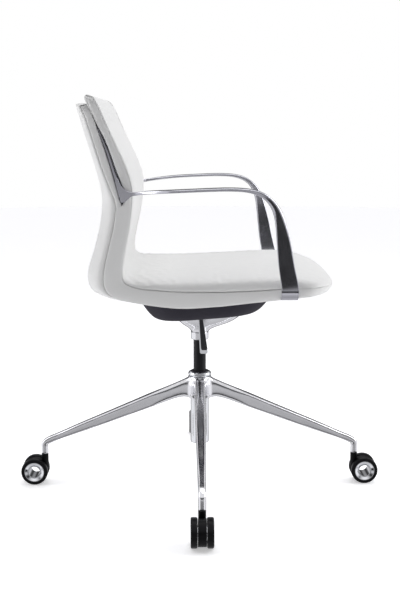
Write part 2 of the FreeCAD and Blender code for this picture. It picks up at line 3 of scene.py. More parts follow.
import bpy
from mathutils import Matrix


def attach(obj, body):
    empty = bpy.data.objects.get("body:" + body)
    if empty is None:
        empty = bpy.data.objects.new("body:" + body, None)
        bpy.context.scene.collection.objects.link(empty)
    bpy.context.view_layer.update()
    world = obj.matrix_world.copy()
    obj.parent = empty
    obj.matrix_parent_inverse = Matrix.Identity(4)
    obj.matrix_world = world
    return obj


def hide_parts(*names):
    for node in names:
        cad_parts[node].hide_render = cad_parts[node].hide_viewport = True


bl_info = {
    "name": "Swivel Office Chair",
    "version": (1, 0, 0),
    "blender": (4, 5, 0),
    "location": "3D View > Sidebar > Chair",
    "description": "Upholsters the chair, gives its metal and plastic their finishes and sets up the studio",
    "category": "Object",
}

import math

import bmesh
import bpy
import numpy as np
from mathutils import Vector
from bpy.props import FloatProperty, FloatVectorProperty, IntProperty, PointerProperty
from bpy.types import Operator, Panel, PropertyGroup

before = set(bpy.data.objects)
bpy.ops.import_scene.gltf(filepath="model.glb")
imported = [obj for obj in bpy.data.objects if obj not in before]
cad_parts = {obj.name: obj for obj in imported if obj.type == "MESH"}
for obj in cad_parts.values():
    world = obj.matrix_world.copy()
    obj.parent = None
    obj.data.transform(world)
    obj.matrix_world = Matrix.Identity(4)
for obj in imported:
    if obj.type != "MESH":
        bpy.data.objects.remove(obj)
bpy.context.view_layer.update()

MM = 0.001

# Lines of the upholstery in the side plane, in mm: (x, z) at stations from the back's top,
# down through the crease and forward to the seat's front.
FRONT_SEAM = [(-211, 861), (-200, 842), (-187.5, 813), (-170, 774), (-153, 737), (-140, 700), (-137, 665),
              (-143, 611), (-152, 565), (-158, 528), (-155, 500), (-133, 488), (-96, 482.5), (-40, 479),
              (40, 478)]
REAR_SEAM = [(-235, 845), (-226, 825), (-217, 798), (-206, 762), (-194, 724), (-179, 686), (-168, 652),
             (-174, 605), (-186, 556), (-194, 515), (-191, 485), (-172, 468), (-123, 456), (-42, 446.5),
             (40, 450.5)]
REAR_MIDDLE = [(-253, 850), (-246, 825), (-237, 793), (-226, 758), (-215, 720), (-207, 683), (-205, 650),
               (-211, 603), (-223, 556), (-237, 510), (-234, 479), (-204, 459), (-138, 448), (-48, 441),
               (40, 444.5)]
FRONT_MIDDLE = [(-209.5, 862), (-197, 843), (-184.5, 813), (-165, 775), (-147, 738), (-132, 700),
                (-129, 664), (-136, 608), (-147, 560), (-152.5, 526), (-147.5, 509.5), (-125, 505),
                (-85, 505), (-35, 506), (40, 509)]
SLOT_FRONT = [(-225, 866), (-218, 847), (-207, 818), (-198, 800), (-188, 781), (-176.9, 752), (-169.8, 731),
              (-162.4, 710), (-154.8, 689), (-150.6, 675), (-150.2, 663), (-156, 653)]
SLOT_REAR = [(-222, 849), (-216, 836), (-208, 818), (-202.6, 801), (-195.6, 781), (-186.2, 752),
             (-179.8, 731), (-173.6, 710), (-167.3, 689), (-163.4, 674), (-160.4, 662), (-156, 653)]

# Heights of the seat's lines against x, in mm, forward of the last station.
SEAT_SEAM_Z = ([40, 118, 190, 240, 283], [478, 481, 486, 486, 483.5])
SEAT_CROWN = ([40, 118, 190, 240, 283], [31, 32, 30, 28, 25])
SHELL_SEAM_Z = ([40, 116, 187, 228, 278], [450.5, 459, 466, 470, 473])
SHELL_MIDDLE_Z = ([40, 118, 190, 240, 276], [444.5, 453, 461, 465.5, 471])

# Seat in plan, in mm: its first station, where its front corners and its top's fall start, and its front.
SEAT_START = 40.0
SEAT_FALL = 118.0
CORNER_X = 190.0
FRONT_X = 283.0
LIP_BACK = 7.0
HALF_WIDTH = 238.0
TOP_Z = 867.0
TOP_CORNER = 20.0
SEAM_DEPTH = 0.8
FLANGE = 6.0
PAD_CROWN = 3.0
PAD_THICK = 5.0
BAND_PUFF = 1.2
BAND_COLUMNS = 15
THREAD_RADIUS = 0.5
THREAD_SIDES = 8
# The back's rounded top corners start this much lower on the shell than on the pad.
SHELL_DROP = 14.0
# How the pad's leather turns over the back's top edge, from inside the gap behind it to its front.
PAD_LIP = [(-209, 822), (-217, 843), (-221, 852), (-224.2, 859), (-225.6, 865), (-223.5, 866.8),
           (-218, 866.4), (-213.2, 864.2)]
# Last station of the seam lines, and the stations where the slot ends and the underside starts.
LAST = 14.0
SLOT_END = 6.25
UNDERSIDE = 10.2
SLOT_FOOT = (-156.0, 653.0)
# How far from the middle the slot's bottom lies, and how far the strips' rims hang into it.
SLOT_FLOOR = 226.0
SLOT_RIMS = (1.4, 6.0, 13.0)
# The strips with ribs in the slots: heights from, to and step.
TRIM_HEIGHTS = (657.0, 806.0, 0.8)
RIB_PITCH = 4.0
RIB_HEIGHT = 1.4

# The crease between back and seat: its middle and reach as (x, z).
CREASE_MIDDLE = (-128, 512)
CREASE_REACH = (34, 26)
# Hold of the simulation on the pad's free points, and its Cloth settings.
FREE = 0.35
CLOTH = {"quality": 6, "mass": 0.6, "tension_stiffness": 12, "compression_stiffness": 12,
         "shear_stiffness": 6, "bending_stiffness": 1.2, "use_pressure": True, "uniform_pressure_force": 4.0,
         "pin_stiffness": 1.0, "shrink_min": -0.018}

# Round the hub the base's inner corners run together: within this radius and below this height, in m.
HUB_REACH = 0.11
HUB_TOP = 0.249
HUB_ROUNDS = 110
CAST_ROUNDS = 5

# Studio, in m and W.
LIGHT_AIM = (0.0, 0.0, 0.5)
KEY_PLACE = (0.25, 0.55, 2.5)
STRIPS = (("strip_left", (-1.9, -0.2, 1.1), 9.0), ("strip_right", (1.9, -0.1, 1.3), 15.0))
CAMERA_PLACE = (-0.0302, -2.2546, 0.8112)
CAMERA_LOOK = (0.0135, 0.9855, -0.1697)
FLOOR_RINGS = (0.3, 0.6, 1.0, 1.6, 2.6, 4.5, 8.0)
FLOOR_SPOKES = 64
FLOOR_Z = -0.0003
FLOOR_GLOW = 0.43
# What the room shows: (place, grey) along a direction from -1 to 1, given as 0 to 1.
FRONT_RAMP = [(0.0, 0.03), (0.42, 0.36), (0.58, 1.0)]
SIDE_RAMP = [(0.0, 0.0), (0.82, 0.0), (0.92, 1.0)]
HEIGHT_RAMP = [(0.0, 0.55), (0.17, 0.95), (0.22, 0.03), (0.30, 0.03), (0.36, 0.58), (0.45, 0.62),
               (0.50, 0.26), (0.56, 0.06), (0.64, 0.05), (0.71, 0.45), (0.79, 1.0), (1.0, 0.85)]


# ---------- settings


COLOUR = {"subtype": "COLOR", "size": 3, "min": 0, "max": 1}


class ChairLeather(PropertyGroup):
    colour: FloatVectorProperty(name="Leather colour", default=(0.78, 0.78, 0.77), **COLOUR,
                                description="Colour of the pads' and the shell's leather")
    seam_colour: FloatVectorProperty(name="Thread colour", default=(0.68, 0.68, 0.67), **COLOUR,
                                     description="Colour of the thread in the seams")
    puff: FloatProperty(name="Puff", description="How far the simulated leather may move off the pattern",
                        subtype="DISTANCE", unit="LENGTH", min=0, max=0.02, default=0.006)
    frames: IntProperty(name="Frames", description="Length of the leather's simulation",
                        min=1, max=60, default=20)


class ChairMetal(PropertyGroup):
    base_colour: FloatVectorProperty(name="Polished aluminium", default=(0.80, 0.80, 0.82), **COLOUR,
                                     description="Colour of the base and the housing")
    arm_colour: FloatVectorProperty(name="Arm metal", default=(0.52, 0.52, 0.56), **COLOUR,
                                    description="Colour of the armrests' polished metal")
    fillet: FloatProperty(name="Casting softness", description="Voxel size that rounds the base's corners",
                          subtype="DISTANCE", unit="LENGTH", min=0.001, max=0.005, default=0.0016)


class ChairStudio(PropertyGroup):
    floor_colour: FloatVectorProperty(name="Floor colour", default=(0.92, 0.92, 0.93), **COLOUR,
                                      description="Colour of the studio floor")
    lens: FloatProperty(name="Lens", description="Focal length of the studio camera",
                        subtype="DISTANCE_CAMERA", min=10, max=200, default=61.42)
    key: FloatProperty(name="Key light", description="Strength of the light above",
                       subtype="POWER", unit="POWER", min=0, max=500, default=18.0)


# ---------- lines and surfaces


def along(points, u):
    """Smooth curve through the points, read at the fractional indices u."""
    p = np.asarray(points, float)
    p = np.vstack([2 * p[0] - p[1], p, 2 * p[-1] - p[-2]])
    u = np.clip(np.asarray(u, float), 0, len(points) - 1)
    i = np.minimum(u.astype(int), len(points) - 2)
    t = (u - i)[:, None]
    a, b, c, d = p[i], p[i + 1], p[i + 2], p[i + 3]
    square = 2 * a - 5 * b + 4 * c - d
    cube = 3 * b - a - 3 * c + d
    return 0.5 * (2 * b + (c - a) * t + square * t ** 2 + cube * t ** 3)


def by_height(points, z):
    """x of a line that falls steadily, at the heights z."""
    p = np.asarray(points, float)
    fine = along(p, np.linspace(0, len(p) - 1, 200))
    return np.interp(z, fine[::-1, 1], fine[::-1, 0])


def half_width(z):
    """Half the upholstery's width at height z: the back's top corners are rounded."""
    over = np.clip(np.asarray(z, float) - (TOP_Z - TOP_CORNER), 0, TOP_CORNER)
    return HALF_WIDTH - TOP_CORNER + np.sqrt(TOP_CORNER ** 2 - over ** 2)


def front_line(y):
    """x of the seat's front seam across the width."""
    k = np.clip(np.abs(y) / HALF_WIDTH, 0, 1)
    return CORNER_X + (FRONT_X - CORNER_X) * (1 - k ** 3) ** (1 / 3)


def lengths(path):
    """Length along a path up to each of its points."""
    return np.concatenate([[0], np.cumsum(np.linalg.norm(np.diff(path, axis=0), axis=1))])


def evenly(start, stop, step, line):
    """Indices along a line from start to stop, about step mm apart."""
    fine = np.linspace(start, stop, 600)
    p = along(line, fine)
    run = lengths(p)
    return np.interp(np.linspace(0, run[-1], max(2, int(round(run[-1] / step)) + 1)), run, fine)


def across(count, edge):
    """Places from -1 to 1 over the width, closer together near the sides."""
    t = np.linspace(-1, 1, count)
    return (1 - edge) * t + edge * np.sin(t * math.pi / 2)


def unit(vectors):
    """Vectors scaled to a length of one."""
    return vectors / np.maximum(np.linalg.norm(vectors, axis=-1, keepdims=True), 1e-9)


def placed(name, data):
    """Object in the scene that shows the data."""
    thing = bpy.data.objects.new(name, data)
    bpy.context.scene.collection.objects.link(thing)
    return thing


def mesh_object(name, points, faces, smooth=True):
    """Object from points in mm."""
    mesh = bpy.data.meshes.new(name)
    mesh.from_pydata((np.asarray(points, float) * MM).tolist(), [], faces)
    mesh.validate()
    mesh.update()
    made = bmesh.new()
    made.from_mesh(mesh)
    bmesh.ops.remove_doubles(made, verts=made.verts, dist=0.00002)
    bmesh.ops.recalc_face_normals(made, faces=made.faces)
    made.to_mesh(mesh)
    made.free()
    mesh.polygons.foreach_set("use_smooth", [smooth] * len(mesh.polygons))
    return placed(name, mesh)


def grid_faces(rows, columns, start=0, flip=False):
    """Four-sided faces over a grid of points."""
    faces = []
    for i in range(rows - 1):
        for j in range(columns - 1):
            a = start + i * columns + j
            quad = (a, a + 1, a + columns + 1, a + columns)
            faces.append(quad[::-1] if flip else quad)
    return faces


def grid_normals(grid):
    """Unit normals of a grid of points."""
    d_row = np.gradient(grid, axis=0)
    d_col = np.gradient(grid, axis=1)
    return unit(np.cross(d_col, d_row))


def slab_from(name, grid, thickness):
    """Closed sheet: the grid, and the same grid set back by the thickness, which share their rim."""
    rows, columns = grid.shape[:2]
    back = grid + grid_normals(grid) * thickness
    back[0], back[-1], back[:, 0], back[:, -1] = grid[0], grid[-1], grid[:, 0], grid[:, -1]
    points = np.vstack([grid.reshape(-1, 3), back.reshape(-1, 3)])
    faces = grid_faces(rows, columns) + grid_faces(rows, columns, rows * columns, flip=True)
    return mesh_object(name, points, faces)


def ring_faces(count, sides):
    """Faces between rings of points one after another, with both ends closed."""
    faces = []
    for i in range(count - 1):
        for j in range(sides):
            k = (j + 1) % sides
            faces.append((i * sides + j, i * sides + k, (i + 1) * sides + k, (i + 1) * sides + j))
    return faces + [tuple(range(sides)), tuple(range((count - 1) * sides, count * sides))[::-1]]


def apply_all(thing):
    """Leaves the object's mesh as its modifiers show it, with none left on it."""
    bpy.context.view_layer.update()
    shown = thing.evaluated_get(bpy.context.evaluated_depsgraph_get())
    mesh = bpy.data.meshes.new_from_object(shown)
    thing.modifiers.clear()
    thing.data = mesh


def dress(thing, body, slot, *materials):
    """Gives a piece its materials and its body; its slot is not used."""
    thing.data.materials.clear()
    for material in materials:
        thing.data.materials.append(material)
    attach(thing, body)


def tube(name, path, radius):
    """Round cord along a list of points, in mm."""
    path = np.asarray(path, float)
    tangent = unit(np.gradient(path, axis=0))
    side = unit(np.cross(tangent, [0.31, 0.11, 0.94]))
    up = np.cross(side, tangent)
    angle = np.linspace(0, 2 * math.pi, THREAD_SIDES, endpoint=False)
    rings = path[:, None] + radius * (side[:, None] * np.cos(angle)[None, :, None]
                                      + up[:, None] * np.sin(angle)[None, :, None])
    return mesh_object(name, rings.reshape(-1, 3), ring_faces(len(path), len(angle)))


# ---------- shared material effects


def group(name, inputs, outputs):
    """Empty shader node group with named float or vector sockets."""
    tree = bpy.data.node_groups.new(name, "ShaderNodeTree")
    for label, value in inputs:
        socket = tree.interface.new_socket(label, in_out="INPUT", socket_type="NodeSocketFloat")
        socket.default_value = value
    for label in outputs:
        tree.interface.new_socket(label, in_out="OUTPUT", socket_type="NodeSocketFloat")
    return tree, tree.nodes.new("NodeGroupInput"), tree.nodes.new("NodeGroupOutput")


def node(tree, kind, **settings):
    made = tree.nodes.new(kind)
    for key, value in settings.items():
        setattr(made, key, value)
    return made


def joined(tree, source, target):
    tree.links.new(source, target)


def arithmetic(tree, operation, first, second):
    """Math node; either side is a socket or a number."""
    made = node(tree, "ShaderNodeMath", operation=operation)
    for value, socket in ((first, made.inputs[0]), (second, made.inputs[1])):
        if isinstance(value, (int, float)):
            socket.default_value = value
        else:
            joined(tree, value, socket)
    return made.outputs[0]


def noise(tree, place, scale, detail=2.0, distortion=0.0):
    """Noise texture; its scale is a socket or a number."""
    made = node(tree, "ShaderNodeTexNoise")
    made.inputs["Detail"].default_value = detail
    made.inputs["Distortion"].default_value = distortion
    joined(tree, place, made.inputs["Vector"])
    if isinstance(scale, float):
        made.inputs["Scale"].default_value = scale
    else:
        joined(tree, scale, made.inputs["Scale"])
    return made.outputs[0]


def varied(tree, given, source, share, out):
    """Roughness that changes with a noise, from the group's Base up by its share."""
    change = times(tree, source, given.outputs[share])
    joined(tree, arithmetic(tree, "ADD", given.outputs["Base"], change), out.inputs["Roughness"])


def times(tree, first, second):
    return arithmetic(tree, "MULTIPLY", first, second)


def leather_grain():
    """Pebbled hide with fine pores and broad soft creases; a colour mask of painted shade by their height.
    """
    tree, given, out = group("leather_grain", [("Scale", 900.0), ("Crease", 0.5)], ["Height", "Painted_Shade"])
    place = node(tree, "ShaderNodeTexCoord").outputs["Object"]
    cells = node(tree, "ShaderNodeTexVoronoi", feature="SMOOTH_F1")
    joined(tree, place, cells.inputs["Vector"])
    joined(tree, given.outputs["Scale"], cells.inputs["Scale"])
    pores = noise(tree, place, times(tree, given.outputs["Scale"], 1.7), 3.0)
    creases = noise(tree, place, 11.0, 5.0, 0.6)
    pebble = arithmetic(tree, "ADD", times(tree, cells.outputs["Distance"], 0.6),
                        times(tree, pores, 0.35))
    soft = times(tree, creases, given.outputs["Crease"])
    joined(tree, arithmetic(tree, "ADD", pebble, soft), out.inputs["Height"])
    # Painted shade and painted sheen: this colour mask follows the crease and pebble height, darker where
    # low and lighter where high.
    shade = arithmetic(tree, "ADD", times(tree, creases, 0.75),
                       times(tree, cells.outputs["Distance"], 0.25))
    joined(tree, shade, out.inputs["Painted_Shade"])
    return tree


def polish_marks():
    """Buffing haze and hair-thin scratches on polished metal."""
    tree, given, out = group("polish_marks", [("Scale", 40.0), ("Haze", 0.05), ("Base", 0.1)],
                             ["Roughness", "Height"])
    place = node(tree, "ShaderNodeTexCoord").outputs["Object"]
    varied(tree, given, noise(tree, place, given.outputs["Scale"], 4.0), "Haze", out)
    stretch = node(tree, "ShaderNodeMapping")
    stretch.inputs["Scale"].default_value = (30.0, 900.0, 420.0)
    stretch.inputs["Rotation"].default_value = (0.2, 0.3, 0.5)
    joined(tree, place, stretch.inputs["Vector"])
    joined(tree, noise(tree, stretch.outputs[0], 1.0), out.inputs["Height"])
    return tree


def moulded_skin():
    """Fine sparked texture of moulded plastic or rubber, with slow changes of gloss."""
    tree, given, out = group("moulded_skin", [("Scale", 1400.0), ("Base", 0.45), ("Spread", 0.15)],
                             ["Roughness", "Height"])
    place = node(tree, "ShaderNodeTexCoord").outputs["Object"]
    varied(tree, given, noise(tree, place, 26.0), "Spread", out)
    joined(tree, noise(tree, place, given.outputs["Scale"]), out.inputs["Height"])
    return tree


def settled_dust():
    """Mask of dust: more of it on faces that look up."""
    tree, given, out = group("settled_dust", [("Scale", 35.0), ("Amount", 0.3)], ["Mask"])
    geometry = node(tree, "ShaderNodeNewGeometry")
    split = node(tree, "ShaderNodeSeparateXYZ")
    joined(tree, geometry.outputs["Normal"], split.inputs[0])
    spots = noise(tree, node(tree, "ShaderNodeTexCoord").outputs["Object"], given.outputs["Scale"], 6.0)
    facing = arithmetic(tree, "MAXIMUM", split.outputs["Z"], 0.15)
    mask = times(tree, times(tree, spots, facing), given.outputs["Amount"])
    joined(tree, mask, out.inputs["Mask"])
    return tree


EFFECTS = {}


def effect(tree, build, **values):
    """One of the shared effects placed in a material, with its own values."""
    if build not in EFFECTS:
        EFFECTS[build] = build()
    made = node(tree, "ShaderNodeGroup", node_tree=EFFECTS[build])
    for key, value in values.items():
        made.inputs[key].default_value = value
    return made


def blank(name):
    material = bpy.data.materials.new(name)
    material.use_nodes = True
    return material, material.node_tree, material.node_tree.nodes["Principled BSDF"]


def mixed(tree, mask, first, second):
    """Colour mix by a mask socket."""
    mix = node(tree, "ShaderNodeMix", data_type="RGBA")
    joined(tree, mask, mix.inputs[0])
    mix.inputs[6].default_value = (*first, 1)
    mix.inputs[7].default_value = (*second, 1)
    return mix.outputs[2]


def surface(tree, shader, colour, roughness):
    joined(tree, colour, shader.inputs["Base Color"])
    joined(tree, roughness.outputs["Roughness"], shader.inputs["Roughness"])


def bump(tree, shader, height, distance, strength):
    made = node(tree, "ShaderNodeBump")
    made.inputs["Distance"].default_value = distance
    made.inputs["Strength"].default_value = strength
    joined(tree, height, made.inputs["Height"])
    joined(tree, made.outputs[0], shader.inputs["Normal"])


def shaded(colour, factor):
    return tuple(min(1.0, c * factor) for c in colour)


def leather(name, colour, scale=900.0, crease=0.45, rough=0.42):
    """Smooth coated leather: pebble grain, soft creases, a little painted shade low and painted sheen high.
    """
    material, tree, shader = blank(name)
    grain = effect(tree, leather_grain, Scale=scale, Crease=crease)
    # Painted shade and painted sheen: the leather's colour is a little darker in the grain's hollows and
    # lighter on its high spots.
    hide = mixed(tree, grain.outputs["Painted_Shade"], shaded(colour, 0.965), shaded(colour, 1.02))
    surface(tree, shader, hide, effect(tree, moulded_skin, Scale=300.0, Base=rough, Spread=0.12))
    bump(tree, shader, grain.outputs["Height"], 0.0006, 0.55)
    shader.inputs["Specular IOR Level"].default_value = 0.42
    shader.inputs["Sheen Weight"].default_value = 0.05
    return material


def metal(name, colour, rough=0.08, haze=0.07, scratch=0.00003, dust=0.12):
    """Polished metal with buffing haze, hairline scratches and a trace of dust."""
    material, tree, shader = blank(name)
    marks = effect(tree, polish_marks, Base=rough, Haze=haze)
    film = effect(tree, settled_dust, Amount=dust)
    surface(tree, shader, mixed(tree, film.outputs["Mask"], colour, shaded(colour, 0.82)), marks)
    shader.inputs["Metallic"].default_value = 1.0
    bump(tree, shader, marks.outputs["Height"], scratch, 0.25)
    return material


def plastic(name, colour, rough=0.4, spread=0.15, grain=1400.0, depth=0.00012, dust=0.25, level=0.5):
    """Moulded plastic, rubber or paint with a sparked skin and a little dust."""
    material, tree, shader = blank(name)
    skin = effect(tree, moulded_skin, Scale=grain, Base=rough, Spread=spread)
    film = effect(tree, settled_dust, Amount=dust)
    pale = tuple(0.75 * c + 0.06 for c in colour)
    surface(tree, shader, mixed(tree, film.outputs["Mask"], colour, pale), skin)
    shader.inputs["Specular IOR Level"].default_value = level
    bump(tree, shader, skin.outputs["Height"], depth, 0.4)
    return material


MADE = {}


def finish(name):
    """The chair's finishes by the record's slot names, each made once."""
    if name in MADE:
        return MADE[name]
    hide = tuple(bpy.context.scene.chair_leather.colour)
    thread = tuple(bpy.context.scene.chair_leather.seam_colour)
    alloy = tuple(bpy.context.scene.chair_metal.base_colour)
    arm = tuple(bpy.context.scene.chair_metal.arm_colour)
    recipes = {
        "cushion_leather": (leather, hide, {}),
        "shell_leather": (leather, shaded(hide, 0.97), dict(scale=820.0, crease=0.3, rough=0.46)),
        "seam_thread": (plastic, thread, dict(rough=0.7, grain=2600.0)),
        # Near-black painted shade for the body seen through the back's slots.
        "inner_felt": (plastic, (0.02, 0.02, 0.022), dict(rough=0.9, grain=900.0, depth=0.0005, level=0.2)),
        "polished_aluminium": (metal, alloy, dict(rough=0.13, haze=0.10)),
        "chrome": (metal, (0.78, 0.79, 0.81), dict(rough=0.045, haze=0.05, scratch=0.00001)),
        "arm_metal": (metal, arm, dict(rough=0.11, haze=0.08)),
        "steel": (metal, (0.42, 0.42, 0.43), dict(rough=0.28, haze=0.2, dust=0.3)),
        "fastener_steel": (plastic, (0.035, 0.035, 0.04), dict(rough=0.35)),
        "black_enamel": (plastic, (0.006, 0.006, 0.008),
                         dict(rough=0.24, spread=0.12, depth=0.00003, dust=0.06, level=0.25)),
        "black_plastic": (plastic, (0.020, 0.018, 0.028),
                          dict(rough=0.55, depth=0.0002, dust=0.12, level=0.3)),
        "lever_grip": (plastic, (0.016, 0.016, 0.02), dict(rough=0.42)),
        "rubber": (plastic, (0.02, 0.02, 0.02), dict(rough=0.75, depth=0.0003)),
        "board": (plastic, (0.30, 0.20, 0.12), dict(rough=0.8, grain=220.0, depth=0.0004)),
        "castor_black": (plastic, (0.004, 0.004, 0.005),
                         dict(rough=0.26, spread=0.12, depth=0.00005, dust=0.05, level=0.12)),
        "castor_tyre": (plastic, (0.005, 0.005, 0.006),
                        dict(rough=0.24, spread=0.14, depth=0.00005, dust=0.08, level=0.14)),
        "slot_trim": (plastic, (0.26, 0.26, 0.28), dict(rough=0.35)),
    }
    kind, colour, values = recipes[name]
    MADE[name] = kind(name, colour, **values)
    return MADE[name]


def finish_nodes(names, slot):
    """Gives CAD nodes their finish."""
    for name in names:
        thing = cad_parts[name]
        thing.data.materials.clear()
        thing.data.materials.append(finish(slot))


# ---------- upholstery


def seat_x(count):
    """Shares of the way from the seat's first station to its front, closer together at the front."""
    t = np.linspace(0, 1, count + 1)[1:]
    return t + 0.10 * np.sin(math.pi * t)


def pad_grid(step, columns):
    """The pads' leather from the back's top edge to the seat's front seam: rows by columns of points."""
    v = across(columns, 0.72)
    ends = (1 - np.abs(v) ** 14) ** (1 / 2.2)
    stations = evenly(0, LAST, step, FRONT_SEAM)
    seam, middle = along(FRONT_SEAM, stations), along(FRONT_MIDDLE, stations)
    corner, edge = FRONT_SEAM[0], SLOT_FRONT[0]
    rows = []
    for x, z in PAD_LIP:
        level = min(z, np.interp(x, [edge[0], corner[0]], [edge[1], corner[1]]))
        height = z - (z - level) * np.abs(v) ** 8
        rows.append(np.stack([np.full(columns, x), v * (half_width(level) - 0.3), height], axis=1))
    for low, high in zip(seam, middle):
        width = half_width(low[1])
        lift = high - low
        length = max(np.linalg.norm(lift), 1e-6)
        rise = (1 - PAD_CROWN * v ** 2 / length * min(1, length / 8)) * ends
        rows.append(np.stack([low[0] + lift[0] * rise, v * width, low[1] + lift[1] * rise], axis=1))
    edge = front_line(v * HALF_WIDTH)
    for share in seat_x(int((FRONT_X - SEAT_START) / step) + 4):
        x = SEAT_START + (edge - SEAT_START) * share
        q = np.clip((x - SEAT_FALL) / np.maximum(edge - SEAT_FALL, 1e-6), 0, 1)
        fall = (1 - q ** 3.1) ** 0.5
        z = np.interp(x, *SEAT_SEAM_Z) + (np.interp(x, *SEAT_CROWN) - PAD_CROWN * v ** 2) * ends * fall
        rows.append(np.stack([x, v * HALF_WIDTH, z], axis=1))
    return np.array(rows)


def skirted(grid, depth):
    """The grid with its side and front rims drawn in a little and turned under by a narrow flange."""
    out = grid.copy()
    out[:, 0, 1] += depth
    out[:, -1, 1] -= depth
    flange = np.array([0.0, FLANGE, 0.0])
    out = np.concatenate([out[:, :1] + flange, out, out[:, -1:] - flange], axis=1)
    out[-1, 2:-2, 0] -= depth
    under = out[-1:] - [FLANGE, 0.0, 0.0]
    return np.concatenate([out, under], axis=0)


def shell_grid(step, columns):
    """The outer shell's leather over its rear and underside, from the back's top to the seat's front."""
    v = across(columns, 0.6)
    round_back, flat_under = (1 - v ** 4) ** 0.5, (1 - v ** 2)
    stations = evenly(0, LAST, step, REAR_MIDDLE)
    seam, middle = along(REAR_SEAM, stations), along(REAR_MIDDLE, stations)
    rows = []
    for station, low, high in zip(stations, seam, middle):
        width = half_width(low[1] + SHELL_DROP)
        share = np.clip((station - UNDERSIDE) / 2.0, 0, 1)
        ends = round_back * (1 - share) + flat_under * share
        rows.append(np.stack([low[0] + (high[0] - low[0]) * ends, v * width,
                              low[1] + (high[1] - low[1]) * ends], axis=1))
    edge = front_line(v * HALF_WIDTH) - LIP_BACK * (1 - 0.5 * np.abs(v) ** 6)
    for share in np.linspace(0, 1, int(235 / step) + 2)[1:]:
        x = SEAT_START + (edge - SEAT_START) * share
        low, high = np.interp(x, *SHELL_SEAM_Z), np.interp(x, *SHELL_MIDDLE_Z)
        lip = 1 - share ** 6
        rows.append(np.stack([x, v * HALF_WIDTH, low + (high - low) * flat_under * lip], axis=1))
    return np.array(rows)


def front_path(count):
    """Points (x, y) of the front seam from the right corner round to the left one."""
    angle = np.linspace(-1, 1, count)
    y = HALF_WIDTH * np.sin(angle * math.pi / 2)
    path = np.stack([front_line(y), y], axis=1)
    run = lengths(path)
    even = np.linspace(0, run[-1], count)
    return np.stack([np.interp(even, run, path[:, 0]), np.interp(even, run, path[:, 1])], axis=1)


def seam_lines(start, step):
    """Front and rear seam of the side band: down the right side, round the front and up the left."""
    stations = evenly(start, LAST, step, FRONT_SEAM)
    pad, shell = along(FRONT_SEAM, stations), along(REAR_SEAM, stations)
    run_x = np.arange(SEAT_START + step, CORNER_X - 1, step)
    pad = np.vstack([pad, np.stack([run_x, np.interp(run_x, *SEAT_SEAM_Z)], axis=1)])
    shell = np.vstack([shell, np.stack([run_x - 1, np.interp(run_x - 1, *SHELL_SEAM_Z)], axis=1)])
    side = [(np.array([p[0], -half_width(p[1]), p[1]]),
             np.array([s[0], -half_width(s[1] + SHELL_DROP), s[1]])) for p, s in zip(pad, shell)]
    front = []
    for x, y in front_path(96):
        bend = 1 - 0.5 * (abs(y) / HALF_WIDTH) ** 6
        x_low = x - LIP_BACK * bend
        front.append((np.array([x, y, np.interp(x, *SEAT_SEAM_Z)]),
                      np.array([x_low, y, np.interp(x_low, *SHELL_SEAM_Z)])))
    other = [(a * [1, -1, 1], b * [1, -1, 1]) for a, b in side[::-1]]
    whole = side + front + other
    return np.array([a for a, b in whole]), np.array([b for a, b in whole])


def band_grid(upper, lower):
    """Leather band between two seam lines, a little puffed, with its rims drawn in."""
    w = np.linspace(0, 1, BAND_COLUMNS)
    w = 0.5 - 0.5 * np.cos(math.pi * w) * (0.35 + 0.65 * np.abs(np.cos(math.pi * w)))
    w = (w - w[0]) / (w[-1] - w[0])
    grid = upper[:, None] * (1 - w)[None, :, None] + lower[:, None] * w[None, :, None]
    out = unit(np.cross(np.gradient(upper, axis=0), lower - upper))
    ahead = np.clip(upper[:, 0] - 150, 0, None) * 3
    flip = np.sign(np.sum(out[:, :2] * np.stack([ahead, upper[:, 1]], axis=1), axis=1))
    out *= np.where(flip == 0, 1, flip)[:, None]
    swell = BAND_PUFF * np.sin(math.pi * w) ** 0.7
    swell[0] = swell[-1] = -SEAM_DEPTH
    grid = grid + out[:, None] * swell[None, :, None]
    turn = out[:, None] * FLANGE
    return np.concatenate([grid[:, :1] - turn, grid, grid[:, -1:] - turn], axis=1)


def soften(thing):
    """One level of subdivision, applied."""
    smooth = thing.modifiers.new("soften", "SUBSURF")
    smooth.levels = smooth.render_levels = 1
    apply_all(thing)


def simulate(thing, free, frames, limit):
    """Lets the leather swell under pressure with its rim held, and keeps each point near the pattern."""
    held = thing.vertex_groups.new(name="held")
    rest = np.array([v.co for v in thing.data.vertices])
    for index, share in enumerate(free):
        held.add([index], float(share), "REPLACE")
    cloth = thing.modifiers.new("leather", "CLOTH")
    for key, value in CLOTH.items():
        setattr(cloth.settings, key, value)
    cloth.settings.effector_weights.gravity = 0
    cloth.settings.vertex_group_mass = "held"
    cloth.point_cache.frame_start = 1
    cloth.point_cache.frame_end = frames
    for number in range(1, frames + 1):
        bpy.context.scene.frame_set(number)
    shown = thing.evaluated_get(bpy.context.evaluated_depsgraph_get())
    moved = np.array([v.co for v in shown.data.vertices]) - rest
    far = np.linalg.norm(moved, axis=1, keepdims=True)
    moved *= limit * np.tanh(far / limit) / np.maximum(far, 1e-9)
    thing.modifiers.clear()
    thing.data.vertices.foreach_set("co", (rest + moved).astype(np.float32).ravel())
    thing.data.update()
    thing.vertex_groups.clear()
    bpy.context.scene.frame_set(1)


def draw_creases(points, normals):
    """Pulls fine folds into the pad at the crease between back and seat, fanning out from its corners."""
    x, y, z = points[:, 0], points[:, 1], points[:, 2]
    aside, above = (x - CREASE_MIDDLE[0]) / CREASE_REACH[0], (z - CREASE_MIDDLE[1]) / CREASE_REACH[1]
    near = np.exp(-aside ** 2 - above ** 2)
    ends = 0.25 + 0.75 * (np.abs(y) / HALF_WIDTH) ** 2
    fan = np.sin((x * 0.9 + z * 0.5) * 0.26 + 2.3 * np.sin(y * 0.031) + y * 0.035)
    fold = np.sin((x - z * 0.7) * 0.42 + 1.4 * np.sin(y * 0.047 + 1.1))
    return points + normals * ((1.5 * fan + 0.9 * fold) * near * ends)[:, None]


